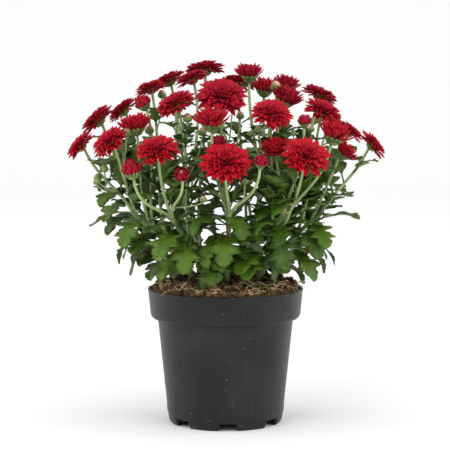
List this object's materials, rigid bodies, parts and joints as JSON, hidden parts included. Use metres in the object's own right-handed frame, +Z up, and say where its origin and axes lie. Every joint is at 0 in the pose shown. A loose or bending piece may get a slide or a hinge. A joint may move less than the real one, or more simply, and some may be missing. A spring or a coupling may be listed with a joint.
{
  "type": "potted chrysanthemum",
  "caption": "Potted chrysanthemum: crimson decorative blooms and buds on branching leafy stems, growing from peat in a charcoal plastic nursery pot with a deep collar and drain slots.",
  "frame": {"origin": "centre of the pot's foot, on the surface it stands on", "axes": "+Z up along the pot's axis, -Y towards the viewer of the picture"},
  "size_m": [0.2408, 0.2364, 0.2812],
  "materials": {
    "pot_plastic": "satin charcoal, thin moulded wall",
    "peat": null,
    "petals": null,
    "greenery": null
  },
  "bodies": {
    "root": {"pot": "pot_plastic", "soil": "peat", "bloom_01": "petals", "bloom_02": "petals", "bloom_03": "petals", "bloom_04": "petals", "bloom_05": "petals", "bloom_06": "petals", "bloom_07": "petals", "bloom_08": "petals", "bloom_09": "petals", "bloom_10": "petals", "bloom_11": "petals", "bloom_12": "petals", "bloom_13": "petals", "bloom_14": "petals", "bloom_15": "petals", "bloom_16": "petals", "bloom_17": "petals", "bloom_18": "petals", "bloom_19": "petals", "bloom_20": "petals", "bloom_21": "petals", "bloom_22": "petals", "bloom_23": "petals", "bloom_24": "petals", "bloom_25": "petals", "bloom_26": "petals", "bloom_27": "petals", "bloom_28": "petals", "bloom_29": "petals", "bloom_30": "petals", "bloom_31": "petals", "bloom_32": "petals", "bloom_33": "petals", "bloom_34": "petals", "bloom_35": "petals", "bloom_36": "petals", "bloom_37": "petals", "bud_01": "petals", "bud_02": "petals", "bud_03": "petals", "bud_04": "petals", "bud_05": "petals", "bud_06": "petals", "bud_07": "petals", "bud_08": "petals", "leafy_stem_front": "greenery", "leafy_stem_front_left": "greenery", "leafy_stem_left_front": "greenery", "leafy_stem_left": "greenery", "leafy_stem_back_left": "greenery", "leafy_stem_back_right": "greenery", "leafy_stem_right": "greenery", "leafy_stem_right_front": "greenery", "leafy_stem_front_right": "greenery"}
  },
  "joints": []
}
